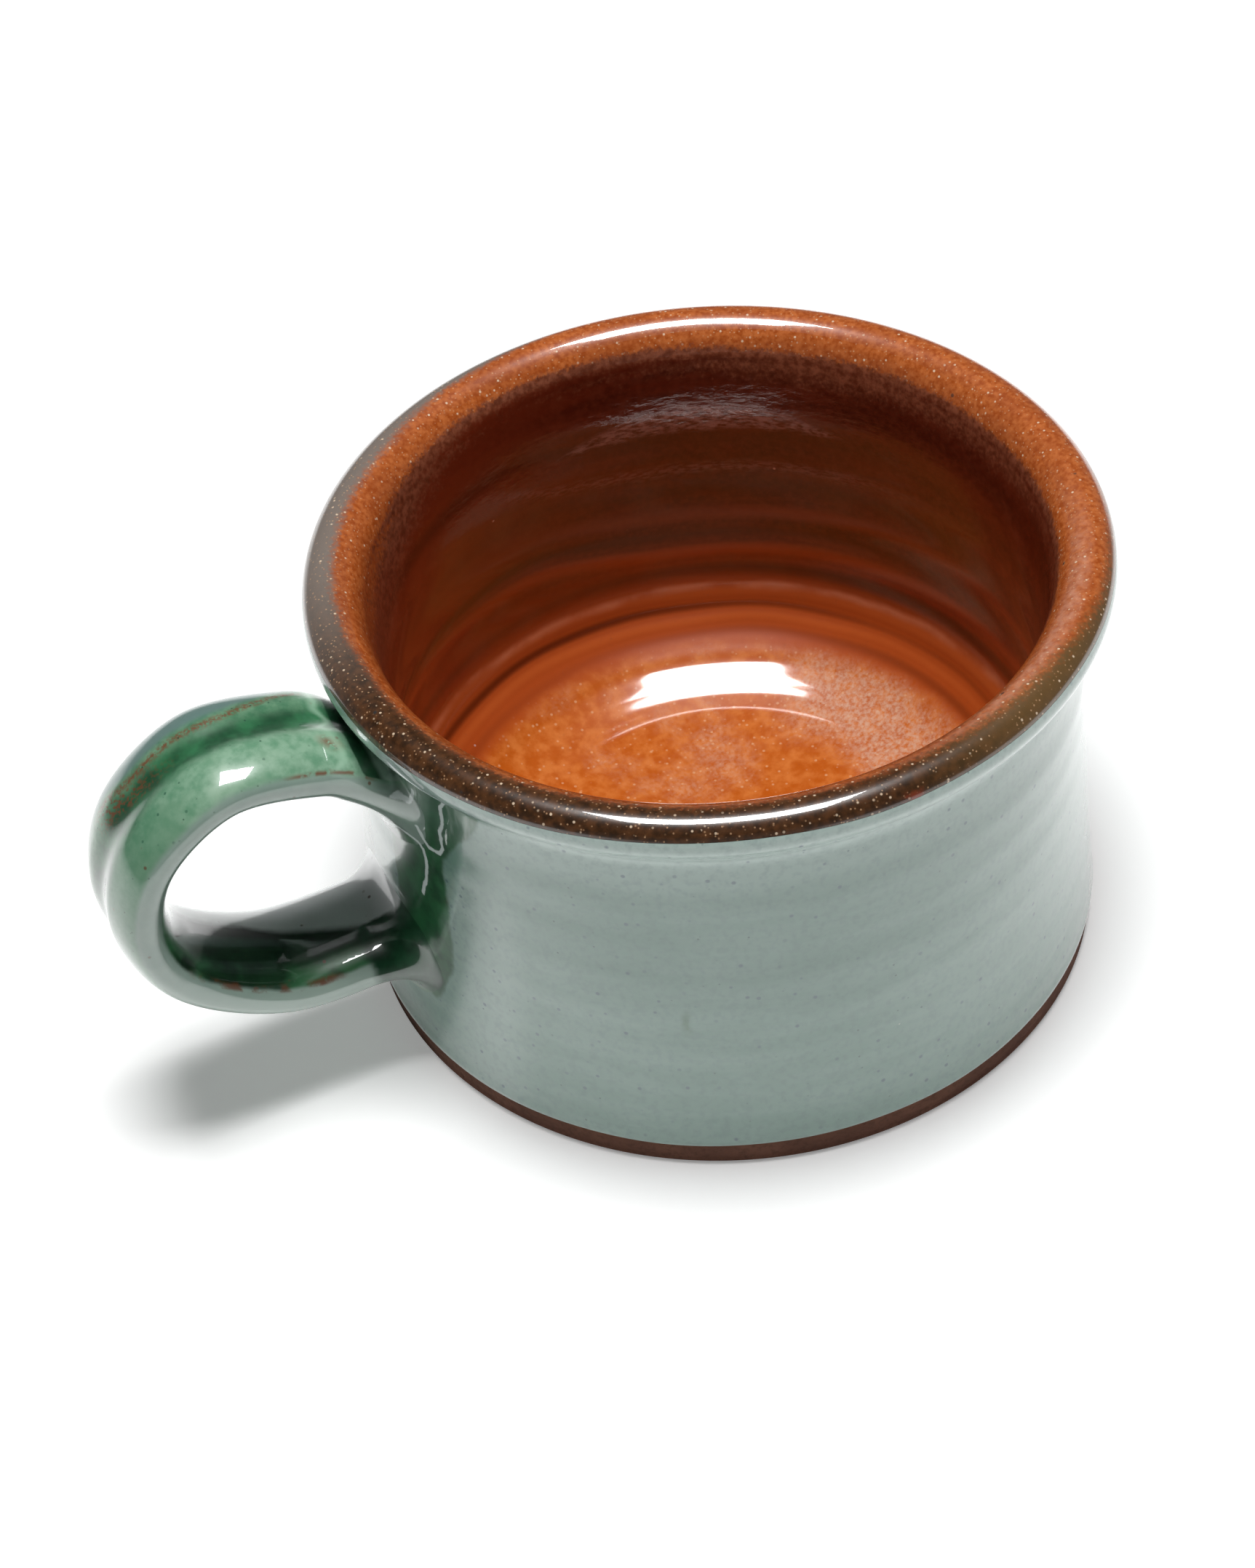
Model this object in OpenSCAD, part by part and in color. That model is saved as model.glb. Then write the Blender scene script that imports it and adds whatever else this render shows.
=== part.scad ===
// Wheel-thrown clay mug with a pulled strap handle, in millimetres.
// The vessel turns about Z and stands on z = 0. The handle points along -X.

/* [Vessel] */
// Height from the table to the top of the bare clay lip
lip_top_z = 66.4; // [62:0.2:72]
// Widest diameter of the clay, across the rolled lip
mouth_d = 109; // [106:0.5:114]
// Diameter of the clay wall where the outside glaze stops, just above the foot
base_d = 105; // [103:0.5:108]
// Diameter of the clay wall half way up
waist_d = 102.2; // [101:0.2:104]
// Narrowest diameter of the clay wall, under the lip
neck_d = 100.8; // [99:0.2:102]
// Drop from the top of the lip to the neck
neck_drop = 13.2; // [11:0.2:15]
// Thickness of the rolled lip
lip_t = 5.8; // [5:0.1:6.6]
// Clay wall thickness at the neck
wall_t = 3.5; // [2.8:0.1:4.2]
// Clay wall thickness above the inside corner
low_wall_t = 4.3; // [3.6:0.1:5.5]
// Drop from the top of the lip to the straight part of the inside wall
throat_drop = 11; // [9:0.5:14]

/* [Floor and foot] */
// Diameter of the bare clay foot
foot_d = 104.4; // [102:0.2:105]
// Height of the bare clay band between the table and the outside glaze
bare_h = 3.7; // [2.5:0.1:5]
// Bevel wiped on the outer edge of the foot
foot_bevel = 0.9; // [0.5:0.1:1.5]
// Width of the flat ring that touches the table
foot_ring_w = 7.5; // [5:0.5:12]
// Depth of the turned recess under the floor
recess_depth = 1.5; // [1:0.1:2.5]
// Clay floor thickness in the middle, above the recess
floor_t = 4.5; // [4:0.1:6]
// How far the floor rises from the middle to the inside corner
floor_dish = 4.7; // [3:0.1:6]
// Width of the rounded corner between the floor and the inside wall
corner_w = 8.5; // [6:0.5:11]
// Height of the rounded corner between the floor and the inside wall
corner_h = 10; // [8:0.5:13]

/* [Throwing rings] */
// Height of the finger rings in the inside corner
corner_ring_h = 0.45; // [0.2:0.05:0.7]
// Height of the broad finger rings on the inside wall
wall_ring_h = 0.22; // [0.1:0.02:0.4]
// Height of the rings on the floor
floor_ring_h = 0.18; // [0.08:0.02:0.3]
// Height of the faint rings on the outside wall
outer_ring_h = 0.12; // [0.06:0.02:0.24]

/* [Handle] */
// How far the middle of the strap stands out beyond the lip at its furthest
handle_reach = 33; // [29:0.2:38]
// Height of the middle of the strap at the top of its loop
handle_top_z = 60; // [56:0.2:63]
// Height of the middle of the strap at the bottom of its loop
handle_low_z = 18.4; // [15:0.2:24]
// Width of the clay strap at the middle of the loop
strap_w = 18; // [15:0.2:21]
// Width of the clay strap where it meets the wall
root_w = 17; // [14:0.2:20]
// Thickness of the clay strap over its two ridges
strap_t = 6; // [5:0.1:7.5]
// How far the rounding of each edge reaches across the strap
edge_r = 2.8; // [2:0.1:3.4]
// Depth of the finger groove between the two ridges
groove_d = 1.5; // [0.8:0.1:2]
// Crown of the strap's inner face
inner_crown = 0.4; // [0.2:0.05:0.8]

/* [Handle joins] */
// Thickness of the slip that beds each end of the strap
slip_t = 0.3; // [0.2:0.05:0.5]
// Extra thickness of the clay flare round each end, at the wall
flare_t = 3.4; // [2:0.1:4.5]
// Distance from the wall over which the flare runs out
flare_run = 10; // [7:0.5:13]

/* [Glaze] */
// Thickness of every coat of glaze
glaze_t = 0.5; // [0.3:0.05:0.8]
// Width over which a coat's free edge rounds off
edge_roll_w = 0.8; // [0.5:0.1:1.5]

/* [Hidden] */
$fn = 120;

body_clay = "#6b4f45";
handle_clay = "#7a5a4c";
join_clay = "#8a6a5a";
lining_colour = "#8a3a14";
rim_colour = "#5a3820";
outside_colour = "#93a49a";
handle_colour = "#5f9273";

// Half sizes and heights that follow from the sizes above
mouth_r = mouth_d / 2;
base_r = base_d / 2;
waist_r = waist_d / 2;
neck_r = neck_d / 2;
foot_r = foot_d / 2;
neck_z = lip_top_z - neck_drop;
lip_r = lip_t / 2;
lip_middle = [mouth_r - lip_r, lip_top_z - lip_r];
floor_z = recess_depth + floor_t;
corner_z = floor_z + floor_dish;
throat_r = neck_r - wall_t;
throat_z = lip_top_z - throat_drop;
shoulder_z = corner_z + corner_h;
shoulder_r = waist_r - low_wall_t;
floor_r = shoulder_r - corner_w;
recess_r = foot_r - foot_bevel - foot_ring_w;
sole_r = foot_r - foot_bevel;

// Directions round the lip, measured from its middle: where the outside curve
// joins it, where the outside and rim coats meet, and where the lining starts
lip_from = -50;
rim_from = 20;
rim_to = 158;

// How far each end of a lip curve is led on, as a share of the lip's thickness
lead_share = 0.75;
// Slope of the floor where it turns up into the corner, and how far each of the two
// curves that meet there is led on along it, as a share of the corner's width
floor_slope = 32;
corner_lead_share = 0.42;
floor_lead_share = 0.7;
// Steps along each stretch of the outline
wall_steps = 42;
under_lip_steps = 8;
lip_steps = 6;
rim_steps = 14;
throat_steps = 8;
inside_steps = 32;
corner_steps = 40;
floor_steps = 24;
// Rings on each stretch
outer_rings = 7;
wall_rings = 4;
corner_rings = 5;
floor_rings = 3;

// Small curve functions
function mix(a, b, t) = a + (b - a) * t;
function bezier(p, t) =
    len(p) == 1 ? p[0] : bezier([for (i = [1:len(p) - 1]) mix(p[i - 1], p[i], t)], t);
function curve(p, steps) = [for (i = [0:steps]) bezier(p, i / steps)];
function on_circle(middle, r, a) = middle + r * [cos(a), sin(a)];
function arc(middle, r, a, b, steps) =
    [for (i = [0:steps]) on_circle(middle, r, mix(a, b, i / steps))];
function part_of(p, from, to) = [for (i = [from:to]) p[i]];
function unit(v) = v / norm(v);

// The direction to the right of travel at point i of an open line
function right_of(p, i) =
    let (a = p[max(i - 1, 0)], b = p[min(i + 1, len(p) - 1)], d = unit(b - a))
    [d[1], -d[0]];

// A line with finger rings of height h pressed up along it
function ringed(p, h, rings) =
    let (last = len(p) - 1)
    [for (i = [0:last]) p[i] + right_of(p, i) * h * (1 - cos(360 * rings * i / last)) / 2];

// The clay outline, from the foot up the outside, over the lip and down to the floor
waist_pull = 2 * waist_r - (base_r + neck_r) / 2;
wall_line = ringed(curve(
    [[base_r, bare_h], [waist_pull, (bare_h + neck_z) / 2], [neck_r, neck_z]], wall_steps),
    outer_ring_h, outer_rings);
lip_start = on_circle(lip_middle, lip_r, lip_from);
lip_start_lead = [sin(lip_from), -cos(lip_from)] * lip_t * lead_share;
under_lip_line = curve(
    [[neck_r, neck_z], [neck_r, mix(neck_z, lip_start[1], 1 / 2)],
        lip_start + lip_start_lead, lip_start], under_lip_steps);
lip_line = arc(lip_middle, lip_r, lip_from, rim_from, lip_steps);
rim_line = arc(lip_middle, lip_r, rim_from, rim_to, rim_steps);
lip_end = on_circle(lip_middle, lip_r, rim_to);
lip_end_lead = [-sin(rim_to), cos(rim_to)] * lip_t * lead_share;
throat_line = curve(
    [lip_end, lip_end + lip_end_lead, [throat_r, mix(throat_z, lip_end[1], 1 / 3)],
        [throat_r, throat_z]], throat_steps);
inside_line = ringed(curve(
    [[throat_r, throat_z], [shoulder_r, (throat_z + shoulder_z) / 2],
        [shoulder_r, shoulder_z]], inside_steps), wall_ring_h, wall_rings);
floor_edge = [floor_r, corner_z];
floor_lead = [1, tan(floor_slope)] * corner_w;
corner_line = ringed(curve(
    [[shoulder_r, shoulder_z], [shoulder_r, corner_z + corner_h / 2],
        floor_edge + floor_lead * corner_lead_share, floor_edge], corner_steps),
    corner_ring_h, corner_rings);
floor_line = ringed(curve(
    [floor_edge, floor_edge - floor_lead * floor_lead_share, [floor_r / 2, floor_z],
        [0, floor_z]], floor_steps),
    floor_ring_h, floor_rings);

// Each stretch leaves out its last point, which the next one starts with
stretches = [wall_line, under_lip_line, lip_line, rim_line, throat_line, inside_line,
    corner_line];
outline = concat([for (s = stretches) each part_of(s, 0, len(s) - 2)], floor_line);
rim_first = wall_steps + under_lip_steps + lip_steps;
rim_last = rim_first + rim_steps;
outline_last = len(outline) - 1;
foot_line = [[0, recess_depth], [recess_r, recess_depth], [recess_r, 0], [sole_r, 0],
    [foot_r, foot_bevel]];

// Outward direction of the clay surface at a point of the outline
function face_at(i) = i == outline_last ? [0, 1] : right_of(outline, i);

// Clay wall radius at a height, up to the widest part of the lip
wall_table = [for (i = [0:rim_first]) [outline[i][1], outline[i][0]]];
function wall_radius(z) = lookup(z, wall_table);

// A coat over the outline from point a to point b, of full thickness at both ends
function coat(a, b, t) = concat(
    [for (i = [a:b]) outline[i] + face_at(i) * t],
    [for (i = [b:-1:a]) outline[i]]);

// Thickness of the outside coat at a height: it rolls off round at its lower edge
function rolled(z, t) =
    let (s = min((z - bare_h) / edge_roll_w, 1))
    t * sqrt(max(1 - (1 - s) * (1 - s), 0));
roll_points = 5;
roll_line = [for (i = [0:roll_points - 1])
    let (z = bare_h + edge_roll_w * i / roll_points)
    [wall_radius(z) + rolled(z, glaze_t), z]];
roll_first = [for (i = [1:rim_first]) if (outline[i][1] >= bare_h + edge_roll_w) i][0];
outside_coat = concat(roll_line,
    [for (i = [roll_first:rim_first]) outline[i] + face_at(i) * glaze_t],
    [for (i = [rim_first:-1:1]) outline[i]]);

// The strap's middle line from the upper end to the lower end, with both ends run on
// into the wall. Each mark has four shares: of the step from the wall out to the lip's
// edge, of the reach beyond that, of the rise up to the neck and of the rise above it.
path_shares = [[0, -0.048, 0.89, 0], [0.5, 0.055, 1, 0.02], [1, 0.173, 1.06, 0.32],
    [1, 0.559, 0.995, 0.995], [1, 0.89, 0.82, 0.82], [1, 1, 0.54, 0.54],
    [1, 0.868, 0.26, 0.26], [1, 0.471, 0.045, 0.045], [0.25, 0.08, 0.02, 0.02],
    [0, -0.075, 0.06, 0.06]];
last_mark = len(path_shares) - 1;
function share_height(s) =
    handle_low_z + s[2] * (neck_z - handle_low_z) + s[3] * (handle_top_z - neck_z);
upper_root_r = wall_radius(share_height(path_shares[0]));
lower_root_r = wall_radius(share_height(path_shares[last_mark]));
path_marks = [for (i = [0:last_mark])
    let (s = path_shares[i], root_r = mix(upper_root_r, lower_root_r, i / last_mark),
        lip_edge_r = max(mouth_r, root_r))
    [mix(root_r, lip_edge_r, s[0]) + s[1] * handle_reach, share_height(s)]];
function mark(i) = path_marks[min(max(i, 0), last_mark)];

// Catmull-Rom curve through the marks, with k counted in marks
function on_path(k) =
    let (i = min(floor(k), last_mark - 1), t = k - i,
        a = mark(i - 1), b = mark(i), c = mark(i + 1), d = mark(i + 2))
    (2 * b + (c - a) * t + (2 * a - 5 * b + 4 * c - d) * t * t
        + (3 * b - a - 3 * c + d) * t * t * t) / 2;

// Rings along the strap lie closer together near its two ends
strap_rings = 42;
join_rings = 11;
ring_crowding_share = 0.06;
function ring_place(i) =
    let (t = i / strap_rings)
    (t - ring_crowding_share * sin(360 * t)) * last_mark;
path = [for (i = [0:strap_rings]) on_path(ring_place(i))];
function path_right(i) = -right_of(path, i);
function width_share(i) = mix(root_w / strap_w, 1, sin(180 * i / strap_rings));

// Strap section as [across, outwards] pairs: two ridges and a groove on the outer
// face, round edges, and a slightly crowned inner face
outer_points = 6;
edge_points = 5;
inner_points = 2;
ridge_share = 0.8;
flat_half = strap_w / 2 - edge_r;
ridge_half = flat_half * ridge_share;
function groove_at(x) =
    abs(x) < ridge_half ? groove_d * pow(cos(90 * abs(x) / ridge_half), 2) : 0;
function outer_face(x) = strap_t / 2 - groove_at(x);
function inner_face(x) =
    -strap_t / 2 - inner_crown * (1 - pow(x / flat_half, 2));
section = concat(
    [for (i = [-outer_points:outer_points])
        let (x = flat_half * i / outer_points) [x, outer_face(x)]],
    [for (i = [1:edge_points - 1])
        let (a = 90 - 180 * i / edge_points)
        [flat_half + edge_r * cos(a), strap_t / 2 * sin(a)]],
    [for (i = [inner_points:-1:-inner_points])
        let (x = flat_half * i / inner_points) [x, inner_face(x)]],
    [for (i = [1:edge_points - 1])
        let (a = 270 - 180 * i / edge_points)
        [-flat_half + edge_r * cos(a), strap_t / 2 * sin(a)]]);
sides = len(section);
function section_out(j) =
    let (d = unit(section[(j + 1) % sides] - section[(j + sides - 1) % sides]))
    [-d[1], d[0]];

// A point of the strap's surface, pushed out by t, at ring i and section point j
function strap_point(i, j, t) =
    let (s = section[j] + section_out(j) * t, m = path[i] + path_right(i) * s[1])
    [-m[0], s[0] * width_share(i), m[1]];
function off_wall(p) = norm([p[0], p[1]]) - wall_radius(p[2]);

// How much of the flare a section point carries: little on the upper face of the
// upper end, which runs into a crease under the lip
crease_share = 0.35;
// How steeply the flare runs out: 1 is a straight cone, more is a deeper hollow
flare_power = 3;
function flare_share(i, j) =
    i > strap_rings / 2 ? 1 : mix(1, crease_share, max(section_out(j)[1], 0));

// Thickness of the join clay over the strap at ring i, which counts from its nearer end
function ring_from_end(i) = min(i, strap_rings - i);
function join_at(i, j) =
    let (near = 1 - max(off_wall(strap_point(i, j, 0)), 0) / flare_run,
        fade = 1 - pow(ring_from_end(i) / join_rings, 4))
    slip_t + flare_t * flare_share(i, j) * pow(max(near, 0), flare_power) * fade;
function cover_at(i, j) = ring_from_end(i) <= join_rings ? join_at(i, j) : 0;

function strap_ring(i, extra) = [for (j = [0:sides - 1]) strap_point(i, j, extra)];
function join_ring(i, extra) =
    [for (j = [0:sides - 1]) strap_point(i, j, join_at(i, j) + extra)];
function cover_ring(i, extra) =
    [for (j = [0:sides - 1]) strap_point(i, j, cover_at(i, j) + extra)];

// Faces of a tube of rings that starts at point number first, facing out or in
function tube_faces(first, rings, outward) = [
    for (i = [0:rings - 2], j = [0:sides - 1])
        let (a = first + i * sides + j, b = first + i * sides + (j + 1) % sides)
        each outward ? [[a, a + sides, b + sides], [a, b + sides, b]]
            : [[a, b + sides, a + sides], [a, b, b + sides]]];
function annulus_faces(a0, b0, outward) = [
    for (j = [0:sides - 1])
        let (k = (j + 1) % sides)
        each outward ? [[a0 + j, a0 + k, b0 + k], [a0 + j, b0 + k, b0 + j]]
            : [[a0 + j, b0 + k, a0 + k], [a0 + j, b0 + j, b0 + k]]];

// Solid and hollow tubes through lists of rings
module solid_tube(rings) {
    n = len(rings);
    polyhedron(points = [for (r = rings) each r],
        faces = concat([[for (j = [0:sides - 1]) j]], tube_faces(0, n, true),
            [[for (j = [sides - 1:-1:0]) (n - 1) * sides + j]]));
}
module hollow_tube(outer, inner) {
    inner_first = len(outer) * sides;
    outer_end = inner_first - sides;
    inner_end = inner_first + (len(inner) - 1) * sides;
    polyhedron(points = concat([for (r = outer) each r], [for (r = inner) each r]),
        faces = concat(tube_faces(0, len(outer), true),
            tube_faces(inner_first, len(inner), false),
            annulus_faces(0, inner_first, true),
            annulus_faces(outer_end, inner_end, false)));
}

// Everything inside the outer face of the clay wall
module wall_core() {
    rotate_extrude()
        polygon(concat([[0, 0], [sole_r, 0], [foot_r, foot_bevel]],
            part_of(outline, 0, rim_first), [[0, outline[rim_first][1]]]));
}

// Pieces
module thrown_body() {
    color(body_clay)
        rotate_extrude()
            polygon(concat(foot_line, outline));
}
module handle() {
    color(handle_clay)
        difference() {
            solid_tube([for (i = [0:strap_rings]) strap_ring(i, 0)]);
            wall_core();
        }
}
module join(first, last) {
    color(join_clay)
        difference() {
            hollow_tube([for (i = [first:last]) join_ring(i, 0)],
                [for (i = [first:last]) strap_ring(i, 0)]);
            wall_core();
        }
}
module upper_join() {
    join(0, join_rings);
}
module lower_join() {
    join(strap_rings - join_rings, strap_rings);
}
module lining_glaze() {
    color(lining_colour)
        rotate_extrude()
            polygon(coat(rim_last, outline_last, glaze_t));
}
module rim_glaze() {
    color(rim_colour)
        rotate_extrude()
            polygon(coat(rim_first, rim_last, glaze_t));
}
module outside_glaze() {
    color(outside_colour)
        difference() {
            rotate_extrude()
                polygon(outside_coat);
            solid_tube([for (i = [0:join_rings + 2]) cover_ring(i, glaze_t)]);
            solid_tube([for (i = [strap_rings - join_rings - 2:strap_rings])
                cover_ring(i, glaze_t)]);
        }
}
module handle_glaze() {
    inner = concat(
        [for (i = [0:join_rings]) join_ring(i, 0)],
        [for (i = [join_rings:strap_rings - join_rings]) strap_ring(i, 0)],
        [for (i = [strap_rings - join_rings:strap_rings]) join_ring(i, 0)]);
    color(handle_colour)
        difference() {
            hollow_tube([for (i = [0:strap_rings]) cover_ring(i, glaze_t)], inner);
            wall_core();
        }
}

thrown_body();
handle();
upper_join();
lower_join();
lining_glaze();
rim_glaze();
outside_glaze();
handle_glaze();
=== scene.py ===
import math

import bpy
import numpy as np
from mathutils import Matrix, Vector


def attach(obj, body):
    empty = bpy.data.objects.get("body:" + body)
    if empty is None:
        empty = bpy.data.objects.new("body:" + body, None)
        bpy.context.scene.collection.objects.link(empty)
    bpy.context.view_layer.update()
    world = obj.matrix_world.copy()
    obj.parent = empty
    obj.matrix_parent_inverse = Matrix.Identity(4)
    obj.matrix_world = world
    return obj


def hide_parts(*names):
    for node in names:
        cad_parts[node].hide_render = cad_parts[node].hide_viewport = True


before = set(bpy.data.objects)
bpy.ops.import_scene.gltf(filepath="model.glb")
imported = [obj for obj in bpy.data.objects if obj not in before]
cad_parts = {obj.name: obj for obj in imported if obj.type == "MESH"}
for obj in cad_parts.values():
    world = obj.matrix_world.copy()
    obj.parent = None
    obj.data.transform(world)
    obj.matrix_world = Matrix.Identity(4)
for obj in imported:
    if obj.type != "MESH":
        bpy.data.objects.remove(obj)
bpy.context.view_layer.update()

mm = 0.001
print("mug frame loaded")


# curve helpers, all in millimetres
def mix(a, b, share):
    return a + (b - a) * share


# from nothing at low to one at high; where low is the larger, it falls
def smooth(x, low, high):
    x = np.clip((x - low) / (high - low), 0, 1)
    return x * x * (3 - 2 * x)


# one at the middle, falling away on both sides
def hump(x, middle, width):
    return np.exp(-((x - middle) / width) ** 2)


def unit(v, tiny=1e-9):
    return v / np.maximum(np.linalg.norm(v, axis=-1, keepdims=True), tiny)


def bezier(points, count):
    shares = np.linspace(0, 1, count)[:, None]
    rows = [np.array(p, float)[None] for p in points]
    while len(rows) > 1:
        rows = [mix(rows[i], rows[i + 1], shares) for i in range(len(rows) - 1)]
    return rows[0]


def onArc(middle, radius, degrees):
    a = np.radians(degrees)
    return np.stack([middle[0] + radius * np.cos(a), middle[1] + radius * np.sin(a)], axis=-1)


# the point at a place along a line, or the points at several places
def pointAt(places, along, line):
    return np.stack([np.interp(places, along, line[:, n]) for n in range(3)], axis=-1)


# vessel outline, close to the solids' own; the pulls shape its curves between the named places
vessel = dict(
    lipTop=66.4, mouthR=54.5, baseR=52.5, waistR=51.1, neckR=50.4, neckDrop=13.2, lipR=2.9, lipStart=-50,
    wall=3.5, lowWall=4.3, throatDrop=6.5, throatLean=12, bareHeight=3.7, glaze=0.5, floorZ=6.0,
    floorDish=4.7, cornerWidth=8.5, cornerHeight=10.0, floorSlope=34, axisGap=0.5,
    lipPull=1.5, throatPull=14, shoulderPull=(0.5, 0.6), cornerPull=0.42, floorPull=0.85)
lineRows = dict(wall=80, underLip=18, inside=56, corner=46, floor=50)

neckR, neckZ = vessel["neckR"], vessel["lipTop"] - vessel["neckDrop"]
lipR = vessel["lipR"]
lipMiddle = (vessel["mouthR"] - lipR, vessel["lipTop"] - lipR)
throatR, throatZ = neckR - vessel["wall"], vessel["lipTop"] - vessel["throatDrop"]
cornerZ = vessel["floorZ"] + vessel["floorDish"]
shoulderR, shoulderZ = vessel["waistR"] - vessel["lowWall"], cornerZ + vessel["cornerHeight"]
floorR = shoulderR - vessel["cornerWidth"]
floorEdge = np.array([floorR, cornerZ])
floorLead = np.array([1, math.tan(math.radians(vessel["floorSlope"]))]) * vessel["cornerWidth"]
lipStart = onArc(lipMiddle, lipR, vessel["lipStart"])
lipStartAngle = math.radians(vessel["lipStart"])
lipStartLead = np.array([math.sin(lipStartAngle), -math.cos(lipStartAngle)]) * lipR * vessel["lipPull"]
waistPull = 2 * vessel["waistR"] - (vessel["baseR"] + neckR) / 2

wallLine = bezier([(vessel["baseR"], vessel["bareHeight"]),
                   (waistPull, (vessel["bareHeight"] + neckZ) / 2), (neckR, neckZ)], lineRows["wall"])
underLipLine = bezier([(neckR, neckZ), (neckR, (neckZ + lipStart[1]) / 2),
                       lipStart + lipStartLead, lipStart], lineRows["underLip"])


# the lip's outline: a round outer side to 90 degrees, then part of a longer half oval into the mug
def lipOutline(degrees):
    outerSide = onArc(lipMiddle, lipR, degrees)
    wide, tall = lipMiddle[0] - throatR, vessel["lipTop"] - throatZ
    last = math.degrees(math.atan(wide / tall / math.tan(math.radians(vessel["throatLean"]))))
    a = np.radians((degrees - 90) / 90 * last)
    innerSide = np.stack([lipMiddle[0] - wide * np.sin(a), throatZ + tall * np.cos(a)], axis=-1)
    return np.where((degrees > 90)[..., None], innerSide, outerSide)


throat = lipOutline(np.array(180.0))
throatLead = np.array([math.tan(math.radians(vessel["throatLean"])), 1]) * vessel["throatPull"]
shoulderInset, shoulderShare = vessel["shoulderPull"]
insideLine = bezier([throat, throat - throatLead,
                     (shoulderR - shoulderInset, mix(throatZ, shoulderZ, shoulderShare)),
                     (shoulderR, shoulderZ)], lineRows["inside"])
cornerLine = bezier([(shoulderR, shoulderZ), (shoulderR, cornerZ + vessel["cornerHeight"] / 2),
                     floorEdge + floorLead * vessel["cornerPull"], floorEdge], lineRows["corner"])
floorLine = bezier([floorEdge, floorEdge - floorLead * vessel["floorPull"], (floorR / 2, vessel["floorZ"]),
                    (vessel["axisGap"], vessel["floorZ"])], lineRows["floor"])

# angles of the columns round the mug, closer together at the handle
spacing = dict(columns=288, samples=2001, extra=2.4, middle=190, width=0.5)
fullTurn = np.linspace(0, 2 * math.pi, spacing["samples"])
density = np.cumsum(1 + spacing["extra"] * hump(fullTurn, math.radians(spacing["middle"]), spacing["width"]))
evenSteps = np.arange(spacing["columns"]) / spacing["columns"] * density[-1]
theta = np.interp(evenSteps, np.append(0, density[:-1]), fullTurn)
fromHandle = np.abs(np.arctan2(np.sin(theta - math.pi), np.cos(theta - math.pi)))


def joined(lines):
    return np.concatenate([line[:-1] for line in lines[:-1]] + [lines[-1]])


# one outline repeated at every angle round the mug
def allRound(line):
    return np.repeat(line[:, None, :], len(theta), axis=1)


# directions out of the clay, for outlines that run up the outside or in and down the inside
def facing(grid):
    d = unit(np.gradient(grid, axis=0))
    return np.stack([d[..., 1], -d[..., 0]], axis=-1)


def spin(grid):
    return np.stack([grid[..., 0] * np.cos(theta), grid[..., 0] * np.sin(theta), grid[..., 1]], axis=-1)


# throwing rings: a spiral that the fingers left, as a push along the surface
def fingerRings(rows, count, height, sharp=1.0, start=0.0, fade=0.05):
    s = np.linspace(0, 1, rows)[:, None]
    crest = (1 - np.cos(2 * math.pi * count * s + theta + start)) / 2
    return height * crest ** sharp * smooth(s, 0, fade) * smooth(1 - s, 0, fade)


anyPhase = 6.28  # about a full turn, the range of the random phases


# a wavy line round the mug, for the edges that the glazes ran to
def wander(seed, strength, waves=range(2, 16), falloff=0.9):
    draw = np.random.default_rng(seed)
    wave = sum(draw.normal() / k ** falloff * np.cos(k * theta + draw.uniform(0, anyPhase)) for k in waves)
    return wave / np.abs(wave).max() * strength


def newPiece(name, points, faces, sharpAngle=42):
    mesh = bpy.data.meshes.new(name)
    mesh.from_pydata((points * mm).tolist(), [], faces)
    mesh.shade_smooth()
    mesh.set_sharp_from_angle(angle=math.radians(sharpAngle))
    piece = bpy.data.objects.new(name, mesh)
    bpy.context.scene.collection.objects.link(piece)
    return piece


# a grid's points by number, each one's neighbour round the grid, and the cells between them
def gridCells(rows, columns):
    number = np.arange(rows * columns).reshape(rows, columns)
    beside = np.roll(number, -1, axis=1)
    return number, beside, np.stack([number[:-1], beside[:-1], beside[1:], number[1:]], axis=-1)


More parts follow.
